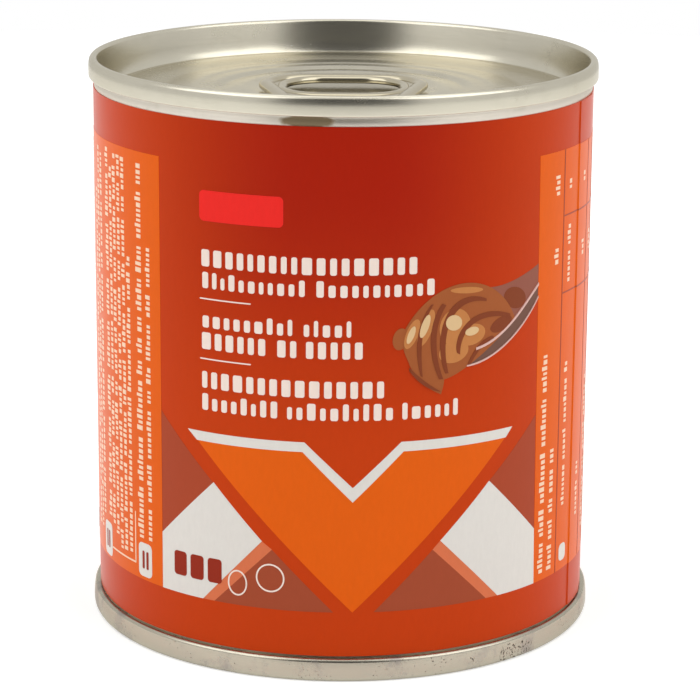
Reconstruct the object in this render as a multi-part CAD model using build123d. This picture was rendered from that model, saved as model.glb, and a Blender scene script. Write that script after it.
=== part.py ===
"""A 397 g condensed milk can: a tinplate can with a ring-pull lid and a paper label.

Millimetres, +Z up, the origin at the centre of the ring that the can stands on.  The front of
the label faces -Y, and the nose of the ring pull points that way too.
"""
import os
from math import pi

from build123d import *

# ---- the can -------------------------------------------------------------------------------
can_height = 83.4          # floor to the top of the upper seam
body_diameter = 73.0       # bare tinplate wall
tin_wall = 0.25            # thickness of the tinplate wall
neck_draw = 0.15           # how far the wall draws in beside each seam, on the radius
neck_height = 0.5          # height of the slope that draws it in

# ---- double seams --------------------------------------------------------------------------
top_seam_proud = 0.8       # seam beyond the bare wall, on the radius
top_seam_height = 2.8
base_seam_proud = 1.1
base_seam_height = 3.3
seam_edge = 0.35           # bevel along the seams' open rims

# ---- lid -----------------------------------------------------------------------------------
lid_depth = 5.2            # top of the seam to the floor of the groove round the panel
lid_wall_lean = 0.9        # how far the sunk wall leans in from the seam to the groove
lid_groove_width = 1.1     # floor of the groove
lid_panel_rise = 0.55      # panel above the groove floor
lid_panel_ramp = 0.5       # run of the slope from the groove up to the panel
lid_sheet = 0.3            # metal left under the groove floor
lid_well_inset = 14.6      # panel edge to the finger well in the middle of the panel
lid_well_ramp = 1.2        # run of the slope down into the well
lid_well_depth = 0.3

# ---- base ----------------------------------------------------------------------------------
base_depth = 3.6           # floor to the groove round the base panel
base_wall_lean = 0.7
base_groove_width = 1.1
base_panel_rise = 0.7
base_panel_ramp = 0.5
base_sheet = 0.3
base_bead_inset = 10.0     # panel edge to the stiffening bead
base_bead_width = 4.0
base_bead_height = 0.45

# ---- ring pull -----------------------------------------------------------------------------
tab_nose_inset = 5.4       # panel edge to the nose
tab_length = 31.0
tab_width = 24.6           # over the ring end
tab_corner = 7.0           # rounding of the ring end's corners
tab_nose_width = 15.4
tab_nose_corner = 4.5
tab_thickness = 1.35       # over the curled edge
tab_web = 0.5              # flat metal round the rivet
tab_edge = 0.4             # bevel round the top of the curl
tab_back_curl = 2.6        # width of the curled edge behind the finger hole
tab_nose_curl = 2.0        # width of the curled edge round the nose
tab_bridge = 2.2           # curled bar between the finger hole and the web
finger_hole_width = 16.2
finger_hole_length = 13.5
finger_hole_corner = 5.5
tab_gap = 0.15             # underside of the curl above the panel

rivet_diameter = 4.6
rivet_head_diameter = 7.0
rivet_head_height = 0.5
rivet_from_nose = 7.0      # rivet axis behind the nose
rivet_fit = 0.05           # play of the web on the rivet, on the radius and along Z

# ---- label ---------------------------------------------------------------------------------
label_base_gap = 0.25      # bare wall between the lower seam and the label
label_top_gap = 1.4        # bare wall between the label and the upper seam
label_paper = 0.15
lap_angle = 66.5           # degrees round from the front towards +X, where the lap starts
lap_width = 8.0            # measured round the can

# ---- worked out from the above -------------------------------------------------------------
body_radius = body_diameter / 2
neck_radius = body_radius - neck_draw
top_seam_radius = body_radius + top_seam_proud
base_seam_radius = body_radius + base_seam_proud
seam_bore = neck_radius - tin_wall           # the ends are seated inside the wall
top_seam_foot = can_height - top_seam_height
lid_groove = can_height - lid_depth
lid_under = lid_groove - lid_sheet
lid_panel = lid_groove + lid_panel_rise
lid_panel_radius = seam_bore - lid_wall_lean - lid_groove_width - lid_panel_ramp
base_top = base_depth + base_sheet
base_panel = base_depth - base_panel_rise
base_panel_radius = seam_bore - base_wall_lean - base_groove_width - base_panel_ramp
tab_nose = tab_nose_inset - lid_panel_radius
tab_back = tab_nose + tab_length
rivet_y = tab_nose + rivet_from_nose
tab_under = lid_panel + tab_gap
web_under = tab_under + (tab_thickness - tab_web) / 2
label_base = base_seam_height + label_base_gap
label_top = top_seam_foot - label_top_gap


def outline_face(points):
    """A closed outline of (radius, height) points, standing in the XZ plane."""
    return make_face(Polyline(*[(r, 0, z) for r, z in points], close=True).edges())


def turned(points):
    """Turn a closed outline of (radius, height) points once round the Z axis."""
    return revolve(outline_face(points), axis=Axis.Z)


def seam(outer, foot, rim):
    """A seam from its foot beside the wall to its open rim, bevelled along the rim's edges."""
    bevel = min(seam_edge, 0.35 * (outer - seam_bore), 0.35 * abs(rim - foot))
    rise = bevel if rim > foot else -bevel
    return turned([
        (seam_bore, foot),
        (outer, foot),
        (outer, rim - rise),
        (outer - bevel, rim),
        (seam_bore + bevel, rim),
        (seam_bore, rim - rise),
    ])


def can_body():
    """The filled can between its ends: one solid, because a shut can isn't seen into."""
    return turned([
        (0, base_top),
        (seam_bore, base_top),
        (seam_bore, base_seam_height),
        (neck_radius, base_seam_height),
        (body_radius, base_seam_height + neck_height),
        (body_radius, top_seam_foot - neck_height),
        (neck_radius, top_seam_foot),
        (seam_bore, top_seam_foot),
        (seam_bore, lid_under),
        (0, lid_under),
    ])


def top_end():
    """The lid: seam, sunk wall, groove, panel with its finger well, and the rivet."""
    well_radius = lid_panel_radius - lid_well_inset
    plate = turned([
        (0, lid_under),
        (seam_bore, lid_under),
        (seam_bore, can_height - seam_edge),
        (seam_bore - lid_wall_lean, lid_groove),
        (lid_panel_radius + lid_panel_ramp, lid_groove),
        (lid_panel_radius, lid_panel),
        (well_radius, lid_panel),
        (well_radius - lid_well_ramp, lid_panel - lid_well_depth),
        (0, lid_panel - lid_well_depth),
    ])
    shank_foot = lid_panel - lid_well_depth
    shank_top = web_under + tab_web + rivet_fit
    shank = Pos(0, rivet_y, (shank_foot + shank_top) / 2) * Cylinder(
        rivet_diameter / 2, shank_top - shank_foot)
    head = Pos(0, rivet_y, shank_top + rivet_head_height / 2) * Cylinder(
        rivet_head_diameter / 2, rivet_head_height)
    return plate + seam(top_seam_radius, top_seam_foot, can_height) + shank + head


def bottom_end():
    """The base: seam, sunk wall, groove and a panel with one stiffening bead."""
    bead_outer = base_panel_radius - base_bead_inset
    bead_inner = bead_outer - base_bead_width
    bead_crest = (bead_outer + bead_inner) / 2
    plate = turned([
        (0, base_top),
        (seam_bore, base_top),
        (seam_bore, seam_edge),
        (seam_bore - base_wall_lean, base_depth),
        (base_panel_radius + base_panel_ramp, base_depth),
        (base_panel_radius, base_panel),
        (bead_outer, base_panel),
        (bead_crest, base_panel + base_bead_height),
        (bead_inner, base_panel),
        (0, base_panel),
    ])
    return plate + seam(base_seam_radius, base_seam_height, 0)


def tab_outline(margin):
    """The ring pull seen from above, drawn in by a margin: wide ring end, narrower nose."""
    ring_x = tab_width / 2 - tab_corner
    ring_y = tab_back - tab_corner
    nose_x = tab_nose_width / 2 - tab_nose_corner
    nose_y = tab_nose + tab_nose_corner
    corners = [Pos(side * ring_x, ring_y) * Circle(tab_corner - margin) for side in (-1, 1)]
    corners += [Pos(side * nose_x, nose_y) * Circle(tab_nose_corner - margin) for side in (-1, 1)]
    return make_hull([edge for corner in corners for edge in corner.edges()])


def pull_tab():
    """The ring pull: a curled edge round a finger hole, and a flat web held by the rivet."""
    blank = extrude(Pos(0, 0, tab_under) * tab_outline(0), tab_thickness)
    blank = chamfer(blank.edges().group_by(Axis.Z)[-1], min(tab_edge, tab_thickness / 3))
    hole_back = tab_back - tab_back_curl
    hole_front = hole_back - finger_hole_length
    corner = min(finger_hole_corner, 0.45 * finger_hole_width, 0.45 * finger_hole_length)
    hole = Pos(0, (hole_back + hole_front) / 2, tab_under) * RectangleRounded(
        finger_hole_width, finger_hole_length, corner)
    blank -= extrude(hole, tab_thickness)
    web_back = hole_front - tab_bridge
    behind_web = Pos(0, web_back + tab_length / 2) * Rectangle(2 * tab_width, tab_length)
    web = tab_outline(tab_nose_curl) - behind_web
    web_top = web_under + tab_web
    blank -= extrude(Pos(0, 0, tab_under) * web, web_under - tab_under)
    blank -= extrude(Pos(0, 0, web_top) * web, tab_under + tab_thickness - web_top)
    eye = Pos(0, rivet_y, tab_under + tab_thickness / 2) * Cylinder(
        rivet_diameter / 2 + rivet_fit, 2 * tab_thickness)
    return blank - eye


def label():
    """The paper sleeve, and its short lap glued over its own end."""
    outer = body_radius + label_paper
    sleeve = turned([
        (body_radius, label_base),
        (outer, label_base),
        (outer, label_top),
        (body_radius, label_top),
    ])
    section = outline_face([
        (outer, label_base),
        (outer + label_paper, label_base),
        (outer + label_paper, label_top),
        (outer, label_top),
    ])
    lap_turn = lap_width / outer * 180 / pi
    lap = revolve(section, axis=Axis.Z, revolution_arc=lap_turn)
    return sleeve + Rot(0, 0, lap_angle - 90) * lap


def main():
    os.makedirs("parts", exist_ok=True)
    parts = {
        "can_body": can_body(),
        "top_end": top_end(),
        "bottom_end": bottom_end(),
        "pull_tab": pull_tab(),
        "label": label(),
    }
    for node, shape in parts.items():
        export_step(shape, f"parts/{node}.step")


main()
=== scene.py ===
"""Looks of a 397 g condensed milk can: a tinplate can with a ring-pull lid and a printed label.

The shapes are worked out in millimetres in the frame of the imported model, +Z up, the origin at
the centre of the ring that the can stands on, and written to the meshes in metres.  Angles on
the label are degrees from its front, which faces -Y, and grow towards +X.
"""
import math
from types import SimpleNamespace

import bpy
import numpy as np
from bpy.props import FloatProperty, FloatVectorProperty, PointerProperty
from mathutils import Matrix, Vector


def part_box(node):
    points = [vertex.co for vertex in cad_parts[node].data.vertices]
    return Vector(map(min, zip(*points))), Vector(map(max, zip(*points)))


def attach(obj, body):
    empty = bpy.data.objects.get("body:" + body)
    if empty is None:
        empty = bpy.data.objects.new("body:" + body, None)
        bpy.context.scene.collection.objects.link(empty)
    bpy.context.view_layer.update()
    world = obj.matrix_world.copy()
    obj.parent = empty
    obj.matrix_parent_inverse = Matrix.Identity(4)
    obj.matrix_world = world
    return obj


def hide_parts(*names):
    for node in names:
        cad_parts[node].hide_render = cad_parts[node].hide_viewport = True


bl_info = {
    "name": "Condensed milk can",
    "version": (1, 0, 0),
    "blender": (4, 5, 0),
    "location": "View3D > Sidebar > Can",
    "description": "Builds the looks of a labelled ring-pull can round its packed CAD model",
    "category": "Object",
}

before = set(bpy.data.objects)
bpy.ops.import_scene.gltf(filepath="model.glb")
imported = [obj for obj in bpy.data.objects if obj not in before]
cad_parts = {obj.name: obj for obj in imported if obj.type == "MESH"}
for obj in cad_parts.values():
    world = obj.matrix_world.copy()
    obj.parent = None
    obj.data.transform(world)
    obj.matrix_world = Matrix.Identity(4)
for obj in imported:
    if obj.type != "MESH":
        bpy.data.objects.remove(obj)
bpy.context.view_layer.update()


def millimetres(node):
    """The lowest and highest corner of a CAD node, in millimetres."""
    low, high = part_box(node)
    return 1000 * np.array(low), 1000 * np.array(high)


WALL_LOW, WALL_HIGH = millimetres("can_body")
LID_LOW, LID_HIGH = millimetres("top_end")
BASE_HIGH = millimetres("bottom_end")[1]
TAB_LOW, TAB_HIGH = millimetres("pull_tab")
LABEL_LOW, LABEL_HIGH = millimetres("label")

ROUND_STEPS = 360                  # steps round the can
PRINT_STEP = 1.2                   # widest step of a printed field, in degrees round the can
DEGREE = math.radians(1) * -LABEL_LOW[0]    # length of one degree on the label, in mm
LAP_SLOPE = 0.25                   # width of the slope at the lap's edge, in degrees
INK_ROOT = 0.03                    # how far a plate of ink reaches into the paper, in mm
WELD = 1e-4                        # points nearer than this are one, in mm

EDGE_TINT = (0.84, 0.82, 0.77, 1)  # tin seen at a glancing angle
METAL_RELIEF = (8e-6, 0.4)         # depth in metres, and strength
PAPER_RELIEF = (6e-6, 0.5)
PAPER_ROUGH = 0.32
COAT = {"Specular IOR Level": 0.03, "Coat Weight": 0.35, "Coat Roughness": 0.25,
        "Coat IOR": 1.25}          # varnish over the whole label, the same all round

SURROUND = 0.85                    # light from the pale room, where 1 is white
OPENING = 0.88                     # how much darker the opening in front of the can is
FLOOR_RADIUS = 0.6
FLOOR_GLOW = 0.36                  # makes the floor white to the camera and in reflections
LAMP_SIZE = (0.7, 0.6)
LAMP_AIM = (0.0, 0.0, 0.05)
LAMPS = [("right_light", (0.50, -0.30, 0.60), 2.0), ("left_light", (-0.50, -0.30, 0.60), 1.95),
         ("top_light", (0.0, 0.15, 0.85), 1.2)]    # name, place, watts
LENS, SENSOR = 146.1, 36.0         # mm
CAMERA_PLACE = (0.0, -0.4135, 0.1471)
CAMERA_YAW, CAMERA_DIP, CAMERA_ROLL = 0.003001, 0.2565, 0.007438    # radians


def linear(red, green, blue):
    """An sRGB colour of 0 to 255 as the linear colour that a socket takes."""
    c = np.array([red, green, blue]) / 255
    c = np.where(c <= 0.04045, c / 12.92, ((c + 0.055) / 1.055) ** 2.4)
    return (*[float(x) for x in c], 1.0)


def size(name, description, value):
    """A length in millimetres, held in metres."""
    return FloatProperty(name=name, description=description, default=value / 1000,
                         precision=5, unit="LENGTH", subtype="DISTANCE")


def in_mm(group):
    """The lengths of a property group in millimetres, by name."""
    return SimpleNamespace(**{key: 1000 * getattr(group, key) for key in group.__annotations__})


def colour(name, description, *srgb):
    """A colour of 0 to 255 a channel, held as linear RGBA."""
    return FloatVectorProperty(name=name, description=description, size=4, min=0, max=1,
                               default=linear(*srgb), subtype="COLOR")


# ---- what a user would change ----------------------------------------------------------------
class CanSizes(bpy.types.PropertyGroup):
    """Sizes of the metal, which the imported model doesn't give by its boxes."""
    neck_draw: size("Neck draw", "How far the wall draws in beside each seam", 0.15)
    seam_width: size("Seam width", "Upper seam, from its bore to its outside", 1.2)
    wall_lean: size("Lid wall lean", "How far the sunk wall leans in", 0.9)
    lid_depth: size("Lid depth", "Seam top to the groove round the panel", 5.2)
    panel_rise: size("Panel rise", "Lid panel above the groove floor", 0.55)
    panel_radius: size("Panel radius", "Edge of the lid panel", 33.6)
    well_radius: size("Well radius", "Edge of the finger well in the lid panel", 19.0)
    well_depth: size("Well depth", "Finger well below the panel", 0.3)
    bead_height: size("Bead height", "Rings pressed up in the lid panel", 0.12)
    score_depth: size("Score depth", "Line along which the lid opens", 0.07)
    base_depth: size("Base depth", "Floor to the groove round the base panel", 3.6)
    base_rise: size("Base panel drop", "Base panel below its groove", 0.7)
    base_bead: size("Base bead", "Height of the ring pressed into the base", 0.45)


class PullSizes(bpy.types.PropertyGroup):
    """Sizes of the ring pull and the rivet."""
    ring_corner: size("Ring corner", "Rounding of the ring end", 7.0)
    nose_width: size("Nose width", "Width over the nose", 15.4)
    nose_corner: size("Nose corner", "Rounding of the nose", 4.5)
    outer_curl: size("Outer curl", "Width of the curled outer edge", 2.3)
    hole_curl: size("Hole curl", "Width of the curl round the finger hole", 1.5)
    hole_width: size("Hole width", "Finger hole across the pull", 16.2)
    hole_length: size("Hole length", "Finger hole along the pull", 13.5)
    hole_corner: size("Hole corner", "Rounding of the finger hole", 5.5)
    back_bar: size("Back bar", "Metal behind the finger hole", 2.6)
    web: size("Web", "Thickness of the flat metal", 0.5)
    rivet_setback: size("Rivet setback", "Rivet axis behind the nose", 7.0)
    rivet_head: size("Rivet head", "Diameter of the rivet's head", 7.0)


class LabelSizes(bpy.types.PropertyGroup):
    """Sizes of the paper and its layers of ink."""
    paper: size("Paper", "Thickness of the paper", 0.15)
    ink: size("Ink layer", "How far each layer of print stands off the one below", 0.03)
    lap_angle: FloatProperty(name="Lap", description="Where the paper's end lies on its start",
                             default=math.radians(66.5), subtype="ANGLE")
    lap_width: size("Lap width", "Width of the lap, measured round the can", 8.0)


class CanColours(bpy.types.PropertyGroup):
    """Colours of the metal and of the print."""
    tin_bright: colour("Tinplate", "Clean tinplate", 205, 200, 184)
    tin_dull: colour("Dull tinplate", "Tinplate where it is handled", 184, 178, 160)
    wall_bright: colour("Wall", "Bare wall beside the label", 226, 218, 206)
    tin_foot: colour("Foot", "Handled tinplate at the foot of the can", 158, 151, 143)
    # a brown patch on the bare wall below the upper seam, just left of the front
    wall_patch: colour("Wall patch", "Mark on the bare wall", 146, 131, 106)
    steel: colour("Ring pull", "Steel of the ring pull", 190, 181, 157)
    brick: colour("Brick", "Ground of the label", 199, 62, 6)
    # painted shade: a darker red for the top of the front, where the dark surroundings reflect
    painted_shade_red: colour("Red with painted shade", "Darker ground above the middle of the front", 170, 29, 2)
    orange: colour("Orange", "Information panels and the wide arrow", 231, 97, 10)
    brown: colour("Upper brown", "Triangles beside the white fields", 172, 72, 43)
    low_brown: colour("Lower brown", "Triangles below the white fields", 165, 76, 48)
    salmon: colour("Salmon", "Slanting strips", 220, 118, 78)
    white: colour("White", "White fields and the broken line", 228, 224, 217)
    badge: colour("Badge", "Small rounded field above the lines", 242, 44, 38)
    lines: colour("Word bars", "Bars that stand for the lines of words", 246, 228, 216)
    small: colour("Small bars", "Bars that stand for small print", 250, 214, 184)
    dark_red: colour("Dark red", "Bars on the white field and in the tabs", 150, 45, 25)
    caramel: colour("Caramel", "Body of the swirl", 166, 92, 50)
    caramel_dark: colour("Caramel shade", "Folds of the swirl", 134, 66, 38)
    caramel_light: colour("Caramel light", "Lit folds of the swirl", 199, 130, 74)
    caramel_gleam: colour("Caramel gleam", "Gleams on the swirl", 226, 192, 144)
    spoon_inside: colour("Spoon inside", "Bowl of the spoon above its rim", 150, 90, 74)
    spoon_outside: colour("Spoon outside", "Bowl of the spoon below its rim", 118, 84, 72)
    spoon_rim: colour("Spoon rim", "Bright edges of the spoon", 226, 186, 176)
    mark_colour: colour("Dirt", "Specks on the foot of the can", 72, 63, 54)
    floor: colour("Floor", "Pale floor", 232, 232, 231)


# ---- surfaces --------------------------------------------------------------------------------
def grid_faces(rows, cols, wrap_rows=False, wrap_cols=False):
    """Quads between neighbouring points of a grid that is numbered row by row."""
    i = np.arange(rows if wrap_rows else rows - 1)[:, None]
    j = np.arange(cols if wrap_cols else cols - 1)[None, :]
    i2, j2 = (i + 1) % rows, (j + 1) % cols
    corners = [i * cols + j, i2 * cols + j, i2 * cols + j2, i * cols + j2]
    return np.stack(np.broadcast_arrays(*corners), -1).reshape(-1, 4)


def ring_shell(grid, wrap_cols=False):
    """A shell from a grid whose rows close on themselves; its columns end in poles or close."""
    rows, cols = grid.shape[:2]
    return grid.reshape(-1, 3), grid_faces(rows, cols, True, wrap_cols)


def plate_shell(outer, inner):
    """A closed plate: a grid of outer points, the same grid inside, and walls round the rim."""
    rows, cols = outer.shape[:2]
    count = rows * cols
    face = grid_faces(rows, cols)
    n = np.arange(count).reshape(rows, cols)
    rim = np.concatenate([n[:-1, 0], n[-1, :-1], n[:0:-1, -1], n[0, :0:-1]])
    after = np.roll(rim, -1)
    walls = np.stack([after, rim, rim + count, after + count], -1)
    points = np.concatenate([outer.reshape(-1, 3), inner.reshape(-1, 3)])
    return points, np.concatenate([face, face[:, ::-1] + count, walls])


def signed_volume(points, quads):
    """Six times the volume inside a shell, positive when its faces point outwards."""
    a, b, c, d = (points[quads[:, k]] for k in range(4))
    return np.sum(a * np.cross(b, c)) + np.sum(a * np.cross(c, d))


def eased(corners, steps=8):
    """A profile through (radius, height, ease) corners.

    Each corner P gives way to the parabola (1-t)^2 A + 2t(1-t) P + t^2 B, where A and B lie
    on the two sides at the distance ease from P.
    """
    c = np.array(corners, float)
    p, ease = c[:, :2], c[:, 2:]
    back = np.vstack([p[:1], p[:-1]]) - p
    ahead = np.vstack([p[1:], p[-1:]]) - p
    back_length = np.maximum(np.linalg.norm(back, axis=1, keepdims=True), 1e-9)
    ahead_length = np.maximum(np.linalg.norm(ahead, axis=1, keepdims=True), 1e-9)
    a = p + back * np.minimum(ease / back_length, 0.5)
    b = p + ahead * np.minimum(ease / ahead_length, 0.5)
    t = np.linspace(0, 1, steps)[None, :, None]
    curve = (1 - t) ** 2 * a[:, None] + 2 * t * (1 - t) * p[:, None] + t ** 2 * b[:, None]
    return curve.reshape(-1, 2)


def turned(profile, centre=(0, 0), steps=ROUND_STEPS):
    """Turn a profile that starts and ends on the axis: x = r sin a, y = -r cos a, z = z."""
    a = np.linspace(0, 2 * np.pi, steps, endpoint=False)[:, None]
    r, z = profile[:, 0], profile[:, 1]
    x, y = centre[0] + r * np.sin(a), centre[1] - r * np.cos(a)
    return ring_shell(np.stack([x, y, np.broadcast_to(z, x.shape)], -1))


def hull_path(centres, radii, count, margin=0.0):
    """The outline of a tight loop round circles, drawn in by a margin, as points set evenly.

    In each direction n the loop touches the circle whose c.n + r is largest, at c + r n.
    """
    turn = np.linspace(0, 2 * np.pi, 1440, endpoint=False)
    n = np.stack([np.cos(turn), np.sin(turn)], -1)
    centres, radii = np.array(centres, float), np.array(radii, float)
    touched = np.argmax(n @ centres.T + radii, axis=1)
    loop = centres[touched] + (radii[touched] - margin)[:, None] * n
    loop = np.vstack([loop, loop[:1]])
    along = np.concatenate([[0], np.cumsum(np.linalg.norm(np.diff(loop, axis=0), axis=1))])
    at = np.linspace(0, along[-1], count, endpoint=False)
    return np.stack([np.interp(at, along, loop[:, k]) for k in range(2)], -1)


def curled_edge(path, width, low, high, steps=20):
    """A closed bar along a loop: its section is a superellipse, across the loop and in height."""
    ahead = np.roll(path, -1, 0) - np.roll(path, 1, 0)
    across = np.stack([ahead[:, 1], -ahead[:, 0]], -1)
    across /= np.linalg.norm(across, axis=1, keepdims=True)
    s = np.linspace(0, 2 * np.pi, steps, endpoint=False)
    side = np.sign(np.cos(s)) * np.abs(np.cos(s)) ** 0.85
    rise = np.sign(np.sin(s)) * np.abs(np.sin(s)) ** 0.85
    half = np.broadcast_to(np.asarray(width, float) / 2, len(path))[:, None]
    flat = path[:, None] + (half * side)[..., None] * across[:, None]
    z = (low + high) / 2 + (high - low) / 2 * rise
    z = np.broadcast_to(z, flat.shape[:2])[..., None]
    return ring_shell(np.concatenate([flat, z], -1), wrap_cols=True)


def smooth(x, low, high):
    """0 below low, 1 above high, and 3t^2 - 2t^3 between them."""
    t = np.clip((x - low) / (high - low), 0, 1)
    return t * t * (3 - 2 * t)


def add_piece(name, shells, material, nodes=(), crease=32):
    """Join closed shells, with outward faces and in metres, and put the piece in the frame."""
    points, quads, shell_of, start = [], [], [], 0
    for k, (p, q) in enumerate(shells):
        points.append(p)
        quads.append((q if signed_volume(p, q) > 0 else q[:, ::-1]) + start)
        shell_of.append(np.full((len(p), 1), k))
        start += len(p)
    points, quads = np.concatenate(points), np.concatenate(quads)
    key = np.hstack([np.round(points / WELD).astype(np.int64), np.concatenate(shell_of)])
    _, first, merged = np.unique(key, axis=0, return_index=True, return_inverse=True)
    quads = merged.ravel()[quads]
    same = quads == np.roll(quads, -1, 1)
    repeats = same.sum(1)
    four = quads[repeats == 0]
    three = quads[repeats == 1][~same[repeats == 1]]
    loops = np.concatenate([four.ravel(), three]).astype(np.int32)
    starts = np.concatenate([4 * np.arange(len(four)),
                             4 * len(four) + 3 * np.arange(len(three) // 3)]).astype(np.int32)
    mesh = bpy.data.meshes.new(name)
    mesh.vertices.add(len(first))
    mesh.vertices.foreach_set("co", (points[first] / 1000).astype(np.float32).ravel())
    mesh.loops.add(len(loops))
    mesh.loops.foreach_set("vertex_index", loops)
    mesh.polygons.add(len(starts))
    mesh.polygons.foreach_set("loop_start", starts)
    mesh.update(calc_edges=True)
    if mesh.validate():
        raise RuntimeError(f"{name} has faces that Blender had to mend")
    mesh.shade_smooth()
    mesh.set_sharp_from_angle(angle=math.radians(crease))
    mesh.materials.append(material)
    piece = bpy.data.objects.new(name, mesh)
    bpy.context.scene.collection.objects.link(piece)
    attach(piece, "root")
    if nodes:
        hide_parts(*nodes)
    return piece


# ---- finishes --------------------------------------------------------------------------------
def fill(tree, made, inputs):
    """Set each named input of a node to a value, or link it to a socket."""
    for key, value in inputs.items():
        if isinstance(value, bpy.types.NodeSocket):
            tree.links.new(value, made.inputs[key])
        else:
            made.inputs[key].default_value = value
    return made


def add_node(tree, kind, inputs=None, **settings):
    """A node with its settings and its inputs."""
    made = tree.nodes.new(kind)
    for key, value in settings.items():
        setattr(made, key, value)
    return fill(tree, made, inputs or {})


def math_node(tree, operation, *values):
    """The result of a Math node."""
    made = add_node(tree, "ShaderNodeMath", dict(enumerate(values)), operation=operation)
    return made.outputs[0]


def plus(tree, a, b):
    """a + b"""
    return math_node(tree, "ADD", a, b)


def times(tree, a, b):
    """a b"""
    return math_node(tree, "MULTIPLY", a, b)


def swing(tree, value, reach):
    """A value of 0 to 1 as a swing of a given reach about zero."""
    return times(tree, math_node(tree, "SUBTRACT", value, 0.5), reach)


def vector_node(tree, operation, *values):
    """The result of a Vector Math node, which is one number for a length or a dot product."""
    made = add_node(tree, "ShaderNodeVectorMath", dict(enumerate(values)), operation=operation)
    return made.outputs["Value" if operation in ("LENGTH", "DOT_PRODUCT") else "Vector"]


def ramp(tree, value, low, high, to_low=0.0, to_high=1.0):
    """A value eased from one range to another."""
    made = add_node(tree, "ShaderNodeMapRange", {
        "Value": value, "From Min": low, "From Max": high, "To Min": to_low, "To Max": to_high,
    }, interpolation_type="SMOOTHSTEP")
    return made.outputs["Result"]


def mix(tree, factor, a, b, kind="RGBA", blend="MIX"):
    """A Mix node's result; the node keeps the inputs of each kind at places of their own."""
    first, result = {"RGBA": (6, 2), "FLOAT": (2, 0), "VECTOR": (4, 1)}[kind]
    made = add_node(tree, "ShaderNodeMix", data_type=kind, blend_type=blend)
    return fill(tree, made, {0: factor, first: a, first + 1: b}).outputs[result]


def toned(tree, shade, tone):
    """A colour made lighter or darker by a share of itself."""
    bright = plus(tree, 1.0, tone)
    grey = add_node(tree, "ShaderNodeCombineColor", {0: bright, 1: bright, 2: bright})
    return mix(tree, 1.0, shade, grey.outputs[0], blend="MULTIPLY")


def noise(tree, vector, scale, detail=3.0, rough=0.55):
    """The Factor of a Noise Texture."""
    made = add_node(tree, "ShaderNodeTexNoise", {
        "Vector": vector, "Scale": scale, "Detail": detail, "Roughness": rough})
    return made.outputs["Fac"]


def object_place(tree):
    """Object coordinates, and their three parts."""
    place = add_node(tree, "ShaderNodeTexCoord").outputs["Object"]
    return place, add_node(tree, "ShaderNodeSeparateXYZ", {0: place}).outputs


def new_group(name, colours, numbers, results, levels):
    """An empty node group: the names of the colours and numbers that it takes and gives."""
    tree = bpy.data.node_groups.new(name, "ShaderNodeTree")
    for direction, kind, labels in (("INPUT", "Color", colours), ("INPUT", "Float", numbers),
                                    ("OUTPUT", "Color", results), ("OUTPUT", "Float", levels)):
        for label in labels.split():
            tree.interface.new_socket(name=label, in_out=direction,
                                      socket_type="NodeSocket" + kind)
    return tree, tree.nodes.new("NodeGroupInput").outputs, tree.nodes.new("NodeGroupOutput")


def metal_group(name):
    """Rolled metal: straight streaks on the panels and streaks round the seams and walls."""
    tree, given, out = new_group(name, "Clean Handled", "Roughness Streaks Smudges",
                                 "Color", "Roughness Height")
    place, parts = object_place(tree)
    flat = add_node(tree, "ShaderNodeCombineXYZ", {0: parts[0], 1: parts[1]}).outputs[0]
    level = add_node(tree, "ShaderNodeCombineXYZ", {2: times(tree, parts[2], 2600.0)})
    turn = vector_node(tree, "MULTIPLY", vector_node(tree, "NORMALIZE", flat), (9.0, 9.0, 9.0))
    around = vector_node(tree, "ADD", turn, level.outputs[0])
    straight = vector_node(tree, "MULTIPLY", place, (60.0, 1900.0, 1900.0))
    rim = ramp(tree, vector_node(tree, "LENGTH", flat), 0.0338, 0.0346)
    streak = noise(tree, mix(tree, rim, straight, around, "VECTOR"), 1.0, 4.0, 0.6)
    smudge = times(tree, ramp(tree, noise(tree, place, 130.0, 5.0, 0.65), 0.5, 0.72),
                   given["Smudges"])
    worn = plus(tree, times(tree, noise(tree, place, 55.0), 0.5), smudge)
    tone = swing(tree, streak, given["Streaks"])
    extra = plus(tree, times(tree, smudge, 0.12), times(tree, tone, 0.35))
    fine = noise(tree, place, 900.0, 2.0)
    fill(tree, out, {
        "Color": toned(tree, mix(tree, worn, given["Clean"], given["Handled"]), tone),
        "Roughness": plus(tree, given["Roughness"], extra),
        "Height": plus(tree, times(tree, streak, 0.5), times(tree, fine, 0.5))})
    return tree


def paper_group(name):
    """Printed paper: fibres under the ink and slow drifts in its tone."""
    tree, given, out = new_group(name, "Ink", "Drift Roughness", "Color", "Roughness Height")
    place = object_place(tree)[0]
    fibre = noise(tree, vector_node(tree, "MULTIPLY", place, (1.0, 1.0, 0.35)), 1700.0, 3.0, 0.7)
    drift = noise(tree, place, 42.0, 2.0)
    tone = plus(tree, swing(tree, fibre, 0.10), swing(tree, drift, given["Drift"]))
    fill(tree, out, {
        "Color": toned(tree, given["Ink"], tone),
        "Roughness": plus(tree, given["Roughness"], swing(tree, drift, 0.12)),
        "Height": fibre})
    return tree


def speck_group(name):
    """A mask of scattered specks, kept to a share of the surface and thicker near one place."""
    tree, given, out = new_group(name, "", "Scale Cover Near", "", "Mask")
    place = object_place(tree)[0]
    grain = noise(tree, place, given["Scale"], 4.0, 0.7)
    patches = ramp(tree, noise(tree, place, 160.0, 2.0), 0.48, 0.62)
    patches = math_node(tree, "MAXIMUM", patches, given["Near"])
    cover = plus(tree, given["Cover"], times(tree, given["Near"], 0.24))
    edge = math_node(tree, "SUBTRACT", 0.78, times(tree, cover, 0.3))
    speck = ramp(tree, grain, edge, plus(tree, edge, 0.05))
    fill(tree, out, {"Mask": times(tree, speck, patches)})
    return tree


def use_group(tree, name, build, inputs):
    """Place a node group, built the first time it is asked for, with its values."""
    group = bpy.data.node_groups.get(name) or build(name)
    return fill(tree, add_node(tree, "ShaderNodeGroup", node_tree=group), inputs).outputs


def new_material(name):
    """A material with nodes, and its tree."""
    material = bpy.data.materials.new(name)
    material.use_nodes = True
    return material, material.node_tree


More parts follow.
